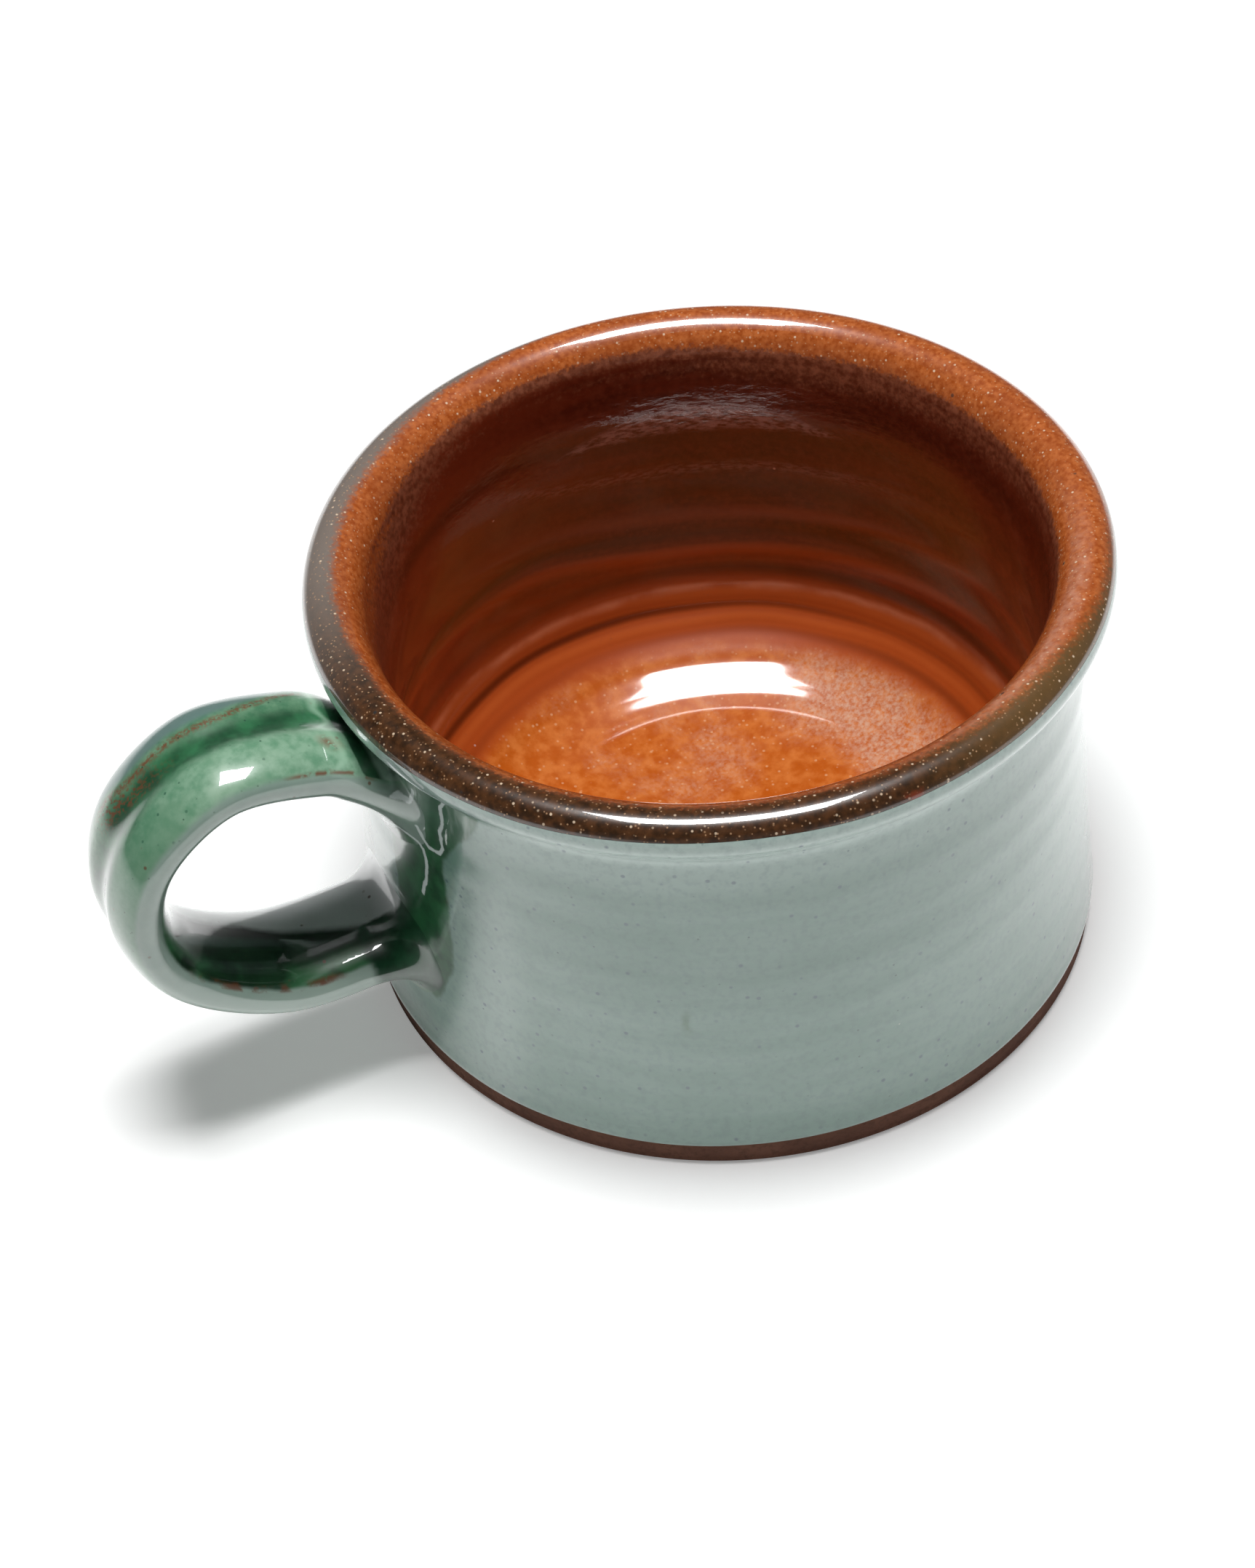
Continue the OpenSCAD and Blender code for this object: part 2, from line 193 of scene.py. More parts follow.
# a closed shell between an outer and an inner grid of points: keep says which cells it has,
# a tip closes its last row, and marks are values at its points for the materials
def shellPiece(name, outer, inner, keep=None, tip=False, marks=None):
    rows, columns = outer.shape[:2]
    number, beside, cells = gridCells(rows, columns)
    back = rows * columns
    if keep is None:
        keep = np.ones((rows - 1, columns), bool)
    faces = [cells[keep], cells[keep][:, ::-1] + back]
    wide = np.zeros((rows + 1, columns), bool)
    wide[1:-1] = keep
    under, over = wide[:-1].copy(), wide[1:]
    if tip:
        under[-1] = False
    left = np.roll(keep, 1, axis=1)
    low, high = number[:-1], number[1:]
    rims = [(beside, number, over & ~under), (number, beside, under & ~over),
            (low, high, keep & ~left), (high, low, left & ~keep)]
    for a, b, chosen in rims:
        a, b = a[chosen], b[chosen]
        faces.append(np.stack([a, b, b + back, a + back], axis=-1))
    points = np.concatenate([outer.reshape(-1, 3), inner.reshape(-1, 3)])
    faces = [tuple(f) for block in faces for f in block.tolist()]
    if tip:
        points = np.concatenate([points, [outer[-1].mean(axis=0), inner[-1].mean(axis=0)]])
        for a, b in zip(number[-1].tolist(), beside[-1].tolist()):
            faces += [(a, b, 2 * back), (b + back, a + back, 2 * back + 1)]
    across, along = np.roll(outer, -1, axis=1)[:-1] - outer[:-1], outer[1:] - outer[:-1]
    if np.sum(np.cross(across, along) * (outer - inner)[:-1]) < 0:
        faces = [f[::-1] for f in faces]
    used = sorted({i for f in faces for i in f})
    place = {old: new for new, old in enumerate(used)}
    piece = newPiece(name, points[used], [[place[i] for i in f] for f in faces])
    for key, values in (marks or {}).items():
        flat = np.broadcast_to(values, (rows, columns)).ravel()
        flat = np.concatenate([flat, flat] + ([[flat[-1]] * 2] if tip else []))[used]
        layer = piece.data.attributes.new(key, "FLOAT", "POINT")
        layer.data.foreach_set("value", flat.astype(np.float32))
    return piece


# a closed body from one grid of points, whose first and last rows close to a point on its middle
def turnedPiece(name, grid):
    number, beside, cells = gridCells(*grid.shape[:2])
    first, last = number.size, number.size + 1
    faces = [tuple(f) for f in cells.reshape(-1, 4).tolist()]
    faces += [(b, a, first) for a, b in zip(number[0].tolist(), beside[0].tolist())]
    faces += [(a, b, last) for a, b in zip(number[-1].tolist(), beside[-1].tolist())]
    points = np.concatenate([grid.reshape(-1, 3), [grid[0].mean(axis=0), grid[-1].mean(axis=0)]])
    return newPiece(name, points, faces)


# the pulled strap: marks are its middle line as distance from the axis and height
strap = dict(
    marks=[(48.92, 49.37), (54.37, 53.34), (60.21, 57.46), (72.95, 59.79), (83.87, 52.51),
           (87.5, 40.86), (83.14, 29.22), (70.04, 20.27), (54.74, 19.23), (48.93, 20.9)],
    nearHalf=9, farHalf=9.7, rootShare=17 / 18, thick=6, crest=1.0, lowCrest=0.1, crestFade=(0.25, 0.5),
    ridge=4.4, grooveAt=0.7, groove=1.0, crown=1.1, cover=0.5, coat=0.4, joinUnder=0.42, clayCover=0.03,
    topFullness=2.2, underFullness=2.0, topPoints=63, underPoints=37, pathPoints=1401, evening=0.06,
    runOnSteps=80, runOnStep=0.05, coatRows=150, bodyRows=140)


def halfOval(degrees, height, fullness):
    a = np.radians(degrees)
    power = 2 / fullness
    half = np.where(degrees < 90, strap["farHalf"], strap["nearHalf"])
    return np.stack([np.sign(np.cos(a)) * np.abs(np.cos(a)) ** power * half,
                     height * np.abs(np.sin(a)) ** power], axis=1)


def strapSection():
    half = strap["thick"] / 2
    top = halfOval(np.linspace(180, 0, strap["topPoints"]), half + strap["crest"], strap["topFullness"])
    x = np.abs(top[:, 0] - strap["grooveAt"])
    dip = np.where(x < strap["ridge"], np.cos(np.radians(90) * x / strap["ridge"]) ** 2, 0)
    top[:, 1] -= strap["groove"] * dip
    underTurns = np.linspace(0, 180, strap["underPoints"])[1:-1]
    under = halfOval(underTurns, -half - strap["crown"], strap["underFullness"])
    section = np.concatenate([top, under])
    d = unit(np.roll(section, -1, axis=0) - np.roll(section, 1, axis=0))
    return section, np.stack([-d[:, 1], d[:, 0]], axis=1)


# a smooth curve through the marks, run on straight into the wall at both ends
def strapPath():
    t = np.linspace(0, 1, strap["pathPoints"])
    spans = len(strap["marks"]) - 1
    k = np.clip((t - strap["evening"] * np.sin(2 * math.pi * t)) * spans, 0, spans - 1e-7)
    marks = np.pad(np.array(strap["marks"]), ((1, 2), (0, 0)), mode="edge")
    i = np.floor(k).astype(int)
    f = (k - i)[:, None]
    a, b, c, d = (marks[i + n] for n in range(4))
    line = (2 * b + (c - a) * f + (2 * a - 5 * b + 4 * c - d) * f ** 2 + (3 * b - a - 3 * c + d) * f ** 3) / 2
    steps = strap["runOnSteps"]
    lead = np.arange(1, steps + 1)[:, None] * strap["runOnStep"]
    into, outOf = unit(line[0] - line[1]), unit(line[-1] - line[-2])
    line = np.concatenate([line[0] + into * lead[::-1], line, line[-1] + outOf * lead])
    return np.pad(t, steps, mode="edge"), line


section, sectionOut = strapSection()
pathShare, pathLine = strapPath()
pathLeft = -facing(pathLine[:, None])[:, 0]


# lines that run along the strap's surface, pushed out by an offset
def strapLines(push):
    s = section + sectionOut * push
    # the crown over the ridges is fuller on the upper half of the handle
    half = strap["thick"] / 2
    lowShare = (half + strap["lowCrest"]) / (half + strap["crest"])
    crown = mix(1, lowShare, smooth(pathShare, *strap["crestFade"]))[:, None]
    rise = np.where(s[:, 1] > 0, s[:, 1] * crown, s[:, 1])
    middle = pathLine[:, None] + pathLeft[:, None] * rise[..., None]
    width = mix(strap["rootShare"], 1, np.sin(math.pi * pathShare))[:, None]
    return np.stack([-middle[..., 0], s[:, 0] * width, middle[..., 1]], axis=-1)


# the outer side of the clay, up to where the outside coat ends on the lip
outside = dict(
    edgeWave=0.3, coverTurn=20, coverWave=3.5, lipRows=10, fineRings=(8.5, 0.055, 1.2),
    wideRings=(3, 0.08, 1, 2.0), rollWidth=0.7, rollLeast=0.02, bead=0.14, beadAt=(0.9, 0.8), edgeFade=8,
    rootR=51, rootShare=0.8)
lipSweep = np.linspace(vessel["lipStart"], outside["coverTurn"], 9)
outerWall = joined([wallLine, underLipLine, onArc(lipMiddle, lipR, lipSweep)])


def wallRadius(z):
    return np.interp(z, outerWall[:, 1], outerWall[:, 0])


# a point on the glazed wall at an angle from the handle's side and a height
def onWall(angle, z, sink):
    r = wallRadius(z) + vessel["glaze"] - sink
    return np.stack([-r * np.cos(angle), r * np.sin(angle), z], axis=-1)


# the strap's fillets: how far each side reaches along the strap and spreads over the wall
fillet = dict(
    upper=dict(top=(2.0, 1.2), side=(9, 6.5), under=(8, 6)),
    lower=dict(top=(5, 4), side=(9, 6), under=(6, 5)),
    farShare=0.75, farFrom=(3, 8), facingPower=1.5, probe=0.3, sink=0.03, strapPull=0.6, wallPull=0.62,
    nearEnd=0.97, rows=15)


# reach and spread at each line of the strap
def filletSizes(lower):
    size = fillet["lower" if lower else "upper"]
    facingUp = sectionOut[:, 1] * (-1 if lower else 1)
    weightTop, weightUnder = (np.maximum(up, 0) ** fillet["facingPower"] for up in (facingUp, -facingUp))
    farSide = mix(1, fillet["farShare"], smooth(section[:, 0], *fillet["farFrom"])) if lower else 1
    return [(size["side"][i] + (size["top"][i] - size["side"][i]) * weightTop
             + (size["under"][i] - size["side"][i]) * weightUnder) * farSide for i in range(2)]


# the strap's own outward direction where line j meets the wall, laid into the wall
def outwardOnWall(ring, following, j, angle):
    side = unit(ring[(j + 1) % len(section)] - ring[j - 1])
    out = np.cross(side, unit(following[j] - ring[j]))
    out = out * np.sign(np.sum(out * (ring[j] - ring.mean(axis=0))))
    roundDir = np.array([math.sin(angle), math.cos(angle), 0])
    return unit(np.array([out @ roundDir, out[2]]))


# one end of the strap: where each line meets the wall, and a fillet from there out to both
def strapRoot(lines, lower):
    reach, spread = filletSizes(lower)
    if lower:
        lines = lines[::-1]
    off = np.hypot(lines[..., 0], lines[..., 1]) - wallRadius(lines[..., 2]) - vessel["glaze"]
    half = len(lines) // 2
    curves = []
    shares, feet = np.zeros(len(section)), np.zeros(len(section))
    for j in range(len(section)):
        line = lines[:, j]
        i = int(np.nonzero(off[:half, j] <= 0)[0][-1])
        f = off[i, j] / (off[i, j] - off[i + 1, j])
        foot = mix(line[i], line[i + 1], f)
        path = np.concatenate([foot[None], line[i + 1:half]])
        length = np.concatenate([[0], np.cumsum(np.linalg.norm(np.diff(path, axis=0), axis=1))])
        start, nearer = pointAt([reach[j], reach[j] - fillet["probe"]], length, path)
        feet[j] = i + f
        shares[j] = np.interp(reach[j], length, np.arange(len(path)) + i + f)
        angle, at = math.atan2(foot[1], -foot[0]), int(round(i + f))
        step = outwardOnWall(lines[at], lines[at + 1], j, angle) * spread[j]
        step[0] = step[0] / math.hypot(foot[0], foot[1])
        end, before = (onWall(angle + step[0] * share, foot[2] + step[1] * share, fillet["sink"])
                       for share in (1, fillet["nearEnd"]))
        startPull = unit(nearer - start) * reach[j] * fillet["strapPull"]
        endPull = unit(end - before) * spread[j] * fillet["wallPull"]
        curves.append(bezier([start, start + startPull, end - endPull, end], fillet["rows"]))
    if lower:
        shares, feet = len(lines) - 1 - shares, len(lines) - 1 - feet
    return np.stack(curves, axis=1), shares, feet


# points on each line of the strap, between a first and a last place along it
def alongLines(lines, first, last, shares):
    places = [mix(first[j], last[j], shares) for j in range(len(section))]
    return np.stack([pointAt(at, np.arange(len(lines)), lines[:, j]) for j, at in enumerate(places)], axis=1)


# the finished strap surface, from the wall above to the wall below
clayLines, coatLines = strapLines(strap["clayCover"]), strapLines(strap["cover"])
upperRoot, upperShare, upperFoot = strapRoot(coatLines, False)
lowerRoot, lowerShare, lowerFoot = strapRoot(coatLines, True)
middle = alongLines(coatLines, upperShare, lowerShare, np.linspace(0, 1, strap["coatRows"])[1:-1])
surface = np.concatenate([upperRoot[::-1], middle, lowerRoot])
rootRows = len(upperRoot)


def gridNormals(grid):
    along = np.gradient(grid, axis=0)
    across = np.roll(grid, -1, axis=1) - np.roll(grid, 1, axis=1)
    normal = unit(np.cross(along, across))
    outward = grid - grid.mean(axis=1, keepdims=True)
    return normal * np.sign(np.sum(normal * outward))


surfaceOut = gridNormals(surface)
strapMarks = dict(across=(section[:, 0] / strap["nearHalf"])[None], outer=sectionOut[None, :, 1],
                  span=np.linspace(0, 1, len(surface))[:, None])
print("strap surface ready")

# where the green glaze pooled, with painted shade darkening it beside the handle, by angle from the handle,
# by height and by distance from the axis
poolShade = dict(edge=19, wider=9.5, widerFrom=(43, 58), narrower=4, narrowerFrom=(26, 15), feather=2.2,
            bareTurn=(7, 3), bareFrom=(23, 27), bareTo=(45, 42), bottom=(12, 17), top=(61, 58.5),
            upperFrom=(40, 45), lowerReach=(55, 63), upperReach=(54.6, 55.8))


# how deep the pooled green and its painted shade go, from the place on the mug alone
def poolShadeDepth(points):
    x, y, z = points[..., 0], points[..., 1], points[..., 2]
    angle = np.abs(np.degrees(np.arctan2(y, -x)))
    edge = (poolShade["edge"] + poolShade["wider"] * smooth(z, *poolShade["widerFrom"])
            - poolShade["narrower"] * smooth(z, *poolShade["narrowerFrom"]))
    near = smooth(angle, edge + poolShade["feather"], edge - poolShade["feather"])
    bare = smooth(angle, *poolShade["bareTurn"]) * smooth(z, *poolShade["bareFrom"]) * smooth(z, *poolShade["bareTo"])
    tall = smooth(z, *poolShade["bottom"]) * smooth(z, *poolShade["top"])
    upper = smooth(z, *poolShade["upperFrom"])
    full, none = (mix(poolShade["lowerReach"][i], poolShade["upperReach"][i], upper) for i in range(2))
    return near * tall * smooth(np.hypot(x, y), none, full) * (1 - bare)


# outside coat, with the handle's two roots left out; coats end just inside the solids' own outline
inset, underClay = 0.01, 0.04
glazeEdge = wander(3, outside["edgeWave"])
bandEdge = wander(5, outside["coverWave"])
sweep = np.linspace(0, 1, outside["lipRows"])[:, None]
lipGrid = onArc(lipMiddle, lipR, mix(vessel["lipStart"], outside["coverTurn"] + bandEdge, sweep))
outsideGrid = joined([allRound(wallLine), allRound(underLipLine), lipGrid])
fromEdge = outsideGrid[..., 1] - vessel["bareHeight"]
ringRows = len(wallLine) + len(underLipLine) // 2
outsidePush = np.zeros(outsideGrid.shape[:2])
for sizes in (outside["fineRings"], outside["wideRings"]):
    outsidePush[:ringRows] += fingerRings(ringRows, *sizes)
roundEdge = 1 - (1 - np.clip(fromEdge / outside["rollWidth"], 0, 1)) ** 2
bead = outside["bead"] * hump(fromEdge, *outside["beadAt"])
thickness = (vessel["glaze"] - inset + bead) * np.sqrt(np.clip(roundEdge, outside["rollLeast"], 1))
shifted = outsideGrid.copy()
shifted[..., 1] += glazeEdge * smooth(fromEdge, outside["edgeFade"], 0)
outsideOut = facing(outsideGrid)
outsideOuter = spin(shifted + outsideOut * (thickness + outsidePush)[..., None])
outsideInner = spin(shifted - outsideOut * underClay)


# the wall and its angles laid flat
def laidFlat(points):
    angle = np.arctan2(points[..., 1], -points[..., 0])
    return np.stack([angle * outside["rootR"], points[..., 2]], axis=-1)


# which points of the wall lie well inside one of the strap's two roots
def insideRoot(points):
    flat = laidFlat(points)
    hidden = np.zeros(flat.shape[:2], bool)
    for end in (surface[0], surface[-1]):
        ring = laidFlat(end)
        ring = mix(ring.mean(axis=0), ring, outside["rootShare"])
        turn = np.zeros(flat.shape[:2])
        for p, q in zip(ring, np.roll(ring, -1, axis=0)):
            a, b = p - flat, q - flat
            turn += np.arctan2(a[..., 0] * b[..., 1] - a[..., 1] * b[..., 0], np.sum(a * b, axis=-1))
        hidden |= np.abs(turn) > math.pi
    return hidden & (points[..., 0] < 0)


covered = insideRoot(outsideOuter)
covered &= np.roll(covered, -1, axis=1)
bared = ~(covered[:-1] & covered[1:])
outsideCoat = shellPiece("outsideCoat", outsideOuter, outsideInner, keep=bared,
                         marks=dict(poolShade=poolShadeDepth(outsideOuter)))

# the lip and the inside are one outline: a band over the lip, then the lining
rim = dict(rows=34, throatRows=16, endTurn=132, endWave=4, bead=0.04, beadAt=(32, 7), sag=0.02)
lining = dict(
    lift=4, liftTurn=(105, 75), liftAbove=24, sway=0.5, swayMost=1.6, ringWave=0.25, unevenness=0.015,
    unevenLean=0.7, unevenFrom=(18, 26), unevenTo=(64, 60), hollow=0.2, hollowAt=(29.5, 3.2),
    hollowBelow=(14, 11), floorRing=0.016, floorRingGap=2.6, floorRingBelow=(12.5, 10.5),
    floorRingFrom=(2, 12))
rimRows, rimEnd = rim["rows"], rim["endTurn"] + wander(8, rim["endWave"])
rimShare = np.linspace(0, 1, rimRows)[:, None]
rimTurn = mix(outside["coverTurn"] + bandEdge, rimEnd, rimShare)
throatTurn = mix(rimEnd, 180, np.linspace(0, 1, rim["throatRows"])[:, None])
lipTurn = np.concatenate([rimTurn[:-1], throatTurn])
insideGrid = joined([lipOutline(lipTurn), allRound(insideLine), allRound(cornerLine), allRound(floorLine)])
height, outward = insideGrid[..., 1], insideGrid[..., 0]
insidePush = np.full(height.shape, vessel["glaze"] - inset)
insidePush[:rimRows] += rim["bead"] * hump(rimTurn - bandEdge, *rim["beadAt"])
insidePush[:rimRows] -= rim["sag"] * (1 + np.sin(3 * theta + 1)) * np.sin(np.pi * rimShare)
# rings that the fingers left, by height: how far each stands out, how wide it is, and how much painted light
# it gets, where a share below nothing is painted shade
rings = [(52.4, 0.06, 2.2, 0.4), (47.8, -0.08, 1.8, -0.7), (43.3, 0.1, 2.0, 0.4), (38.8, -0.08, 2.2, -0.6),
         (34.3, 0.12, 2.0, 0.8), (30.6, -0.07, 1.6, -0.9), (27.0, 0.12, 1.9, 0.9), (23.0, -0.1, 1.9, -0.9),
         (18.0, 0.16, 1.1, 1.0), (15.7, -0.07, 0.8, -0.75), (14.2, 0.08, 0.7, 0.7), (12.7, -0.05, 0.8, -0.5)]
lift = lining["lift"] * smooth(np.degrees(fromHandle), *lining["liftTurn"]) * (np.sin(theta) > 0)
ringShading = np.zeros(height.shape)
for i, (middleZ, rise, wide, ledgeLit) in enumerate(rings):
    sway = min(wide, lining["swayMost"]) * lining["sway"] * np.sin(theta - 0.6 + 0.7 * i)
    drift = lift * (middleZ > lining["liftAbove"]) + sway + wander(40 + i, lining["ringWave"])
    power = 0.8 + 0.2 * np.cos(theta * (1 + i % 2) + 1.7 * i)
    bell = power * hump(height - drift, middleZ, wide) * (outward < lipMiddle[0])
    insidePush += rise * bell
    ringShading += ledgeLit * bell
# slow unevenness of the wall, a hollow round the floor and fine rings on it
draw = np.random.default_rng(61)
wallOnly = smooth(height, *lining["unevenFrom"]) * smooth(height, *lining["unevenTo"])
for waves in range(2, 11):
    lean = draw.uniform(-lining["unevenLean"], lining["unevenLean"])
    wave = np.sin(waves * theta + height * lean + draw.uniform(0, anyPhase))
    insidePush += lining["unevenness"] * wave * wallOnly
hollow = hump(outward, *lining["hollowAt"]) * smooth(height, *lining["hollowBelow"])
floorRings = np.sin(2 * math.pi * outward / lining["floorRingGap"] + theta)
floorRings *= smooth(height, *lining["floorRingBelow"]) * smooth(outward, *lining["floorRingFrom"])
insidePush += lining["floorRing"] * floorRings - lining["hollow"] * hollow
insideOut = facing(insideGrid)
insideOuter = spin(insideGrid + insideOut * insidePush[..., None])
insideInner = spin(insideGrid - insideOut * underClay)

# where the rim's brown ends and where the dark inside begins, as turns of the lip by angle
brownEdge = [(-180, 120), (-145, 108), (-90, 105), (-67, 96), (-56, 88), (-47, 68), (-38, 51), (-26, 38),
             (0, 32), (40, 34), (75, 46), (104, 86), (129, 100), (157, 107), (180, 120)]
insideEdge = [(-180, 170), (-90, 165), (-36, 152), (0, 160), (47, 163), (73, 152), (94, 146), (124, 148),
              (139, 160), (152, 168), (180, 170)]
# both edges are softer on one side of the mug
edges = dict(brownWave=4, insideWave=3, brown=26, brownMore=16, brownSide=-50, brownFrom=0.6,
             inside=(-14, 40), insideMore=45, insideSide=165, insideFrom=0.5, perHeight=4)
angle = np.degrees(np.arctan2(np.sin(theta), np.cos(theta)))
brownTo = np.interp(angle, *zip(*brownEdge)) + wander(11, edges["brownWave"])
darkFrom = np.interp(angle, *zip(*insideEdge)) + wander(12, edges["insideWave"])
lipTurns = 180 + (throatZ - height) * edges["perHeight"]
lipTurns[:len(lipTurn)] = lipTurn
rightSide = smooth(np.cos(theta - math.radians(edges["brownSide"])), edges["brownFrom"], 1)
leftSide = smooth(np.cos(theta - math.radians(edges["insideSide"])), edges["insideFrom"], 1)
brownSoft = edges["brown"] + edges["brownMore"] * rightSide
brown = smooth(brownTo - lipTurns, -brownSoft, brownSoft)
shade = smooth(lipTurns - darkFrom, edges["inside"][0], edges["inside"][1] + edges["insideMore"] * leftSide)
rimCoat = shellPiece("rimCoat", insideOuter[:rimRows], insideInner[:rimRows],
                     marks=dict(brown=brown[:rimRows], shade=shade[:rimRows]))
fromRim = slice(rimRows - 1, None)
liningCoat = shellPiece("liningCoat", insideOuter[fromRim], insideInner[fromRim], tip=True,
                        marks=dict(ringShading=ringShading[fromRim], brown=brown[fromRim], shade=shade[fromRim]))
print("vessel coats ready")

# green coat on the strap, and the clay worked round each root under it
rootPale = dict(upper=(40, 45), nearSide=(-5.5, -7.5), topSide=(0.8, 0.6), farSide=(-3.5, -1.5))
upperPart = smooth(surface[..., 2], *rootPale["upper"])
nearPale = smooth(surface[..., 1], *rootPale["nearSide"]) * smooth(sectionOut[:, 1], *rootPale["topSide"])
farPale = smooth(surface[..., 1], *rootPale["farSide"])
strapPoolShade = poolShadeDepth(surface) * (1 - nearPale * upperPart) * (1 - farPale * (1 - upperPart))
strapCoat = shellPiece("strapCoat", surface, surface - surfaceOut * strap["coat"],
                       marks=dict(strapMarks, poolShade=strapPoolShade))
joinOuter = surface - surfaceOut * strap["joinUnder"]
joinShares = np.linspace(0, 1, rootRows)
upperClay = alongLines(clayLines, upperFoot, upperShare, joinShares)
lowerClay = alongLines(clayLines, lowerShare, lowerFoot, joinShares)
upperJoin = shellPiece("upperJoin", joinOuter[:rootRows], upperClay)
lowerJoin = shellPiece("lowerJoin", joinOuter[-rootRows:], lowerClay)

# the thrown and turned clay under the coats, with its bare foot
foot = dict(
    radius=52.6, bevel=0.25, ring=7.5, recess=1.5, bevelPoints=[(-0.3, 0), (0.2, 0.05)],
    sidePoints=[(-0.05, 0.6), (0, 0.55)], stepPoints=[(-2, 1.5), (-0.2, 1.5), (-0.1, 0.1), (0.5, 0)],
    turning=(14, 0.16, 1.4), wear=0.08, wearAt=(1.2, 0.8), recessRows=80, soleRows=8, edgeRows=9, lipRows=56)
soleR = foot["radius"] - foot["bevel"]


# points given from a radius
def besideRadius(radius, points):
    return [(radius + aside, z) for aside, z in points]


bevelPoints = besideRadius(soleR, foot["bevelPoints"]) + besideRadius(foot["radius"], foot["sidePoints"])
stepPoints = besideRadius(soleR - foot["ring"], foot["stepPoints"])
recessLine = bezier([(vessel["axisGap"], foot["recess"]), stepPoints[0]], foot["recessRows"])
stepLine, bevelLine = bezier(stepPoints, foot["edgeRows"]), bezier(bevelPoints, foot["edgeRows"])
soleLine = bezier([stepPoints[-1], bevelPoints[0]], foot["soleRows"])
bandLine = bezier([bevelPoints[-1], (vessel["baseR"], vessel["bareHeight"])], foot["edgeRows"])
lipLine = lipOutline(np.linspace(vessel["lipStart"], 180, foot["lipRows"]))
coveredLine = joined([wallLine, underLipLine, lipLine, insideLine, cornerLine, floorLine])
# the clay that the coats hide needs only every second point
clayOutline = joined([recessLine, stepLine, soleLine, bevelLine, bandLine, coveredLine[::2]])
clayGrid = allRound(clayOutline)
turning = np.zeros(clayGrid.shape[:2])
turning[:len(recessLine)] = fingerRings(len(recessLine), *foot["turning"])
nearSole = hump(clayOutline[:, 1], *foot["wearAt"]) * (clayOutline[:, 0] > soleR)
turning -= (foot["wear"] + wander(21, foot["wear"]))[None] * nearSole[:, None]
turnedBody = turnedPiece("turnedBody", spin(clayGrid + facing(clayGrid) * turning[..., None]))
bodyShares = np.linspace(0, 1, strap["bodyRows"])
strapBody = turnedPiece("strapBody", alongLines(strapLines(0), upperFoot, lowerFoot, bodyShares))

dressed = (
    (turnedBody, "thrown_body", "bare_clay"), (strapBody, "handle", "handle_clay"),
    (upperJoin, "upper_join", "join_clay"), (lowerJoin, "lower_join", "join_clay"),
    (outsideCoat, "outside_glaze", "outside_glaze"), (rimCoat, "rim_glaze", "rim_glaze"),
    (liningCoat, "lining_glaze", "lining_glaze"), (strapCoat, "handle_glaze", "handle_glaze"))
for piece, node, slot in dressed:
    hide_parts(node)
    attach(piece, "root")
print("pieces:", {piece.name: len(piece.data.polygons) for piece, node, slot in dressed})


# a colour written as 0 to 255, as the shader takes it
def tint(r, g, b):
    linear = [c / 255 / 12.92 if c <= 10 else ((c / 255 + 0.055) / 1.055) ** 2.4 for c in (r, g, b)]
    return (*linear, 1)


# nodes of one shader tree
class Nodes:
    def __init__(self, tree):
        self.tree = tree

    # a node, with each input set to a value or linked to a socket
    def add(self, kind, inputs=None, **props):
        node = self.tree.nodes.new(kind)
        for key, value in props.items():
            setattr(node, key, value)
        for key, value in (inputs or {}).items():
            if isinstance(value, bpy.types.NodeSocket):
                self.tree.links.new(value, node.inputs[key])
            else:
                node.inputs[key].default_value = value
        return node

    def calc(self, kind, *values):
        return self.add("ShaderNodeMath", dict(enumerate(values)), operation=kind).outputs[0]

    def times(self, first, *others):
        for other in others:
            first = self.calc("MULTIPLY", first, other)
        return first

    def plus(self, a, b):
        return self.calc("ADD", a, b)

    def minus(self, a, b):
        return self.calc("SUBTRACT", a, b)

    def larger(self, a, b):
        return self.calc("MAXIMUM", a, b)

    def ease(self, value, low, high, start=0.0, end=1.0):
        inputs = {"Value": value, "From Min": low, "From Max": high, "To Min": start, "To Max": end}
        return self.add("ShaderNodeMapRange", inputs, interpolation_type="SMOOTHSTEP").outputs[0]


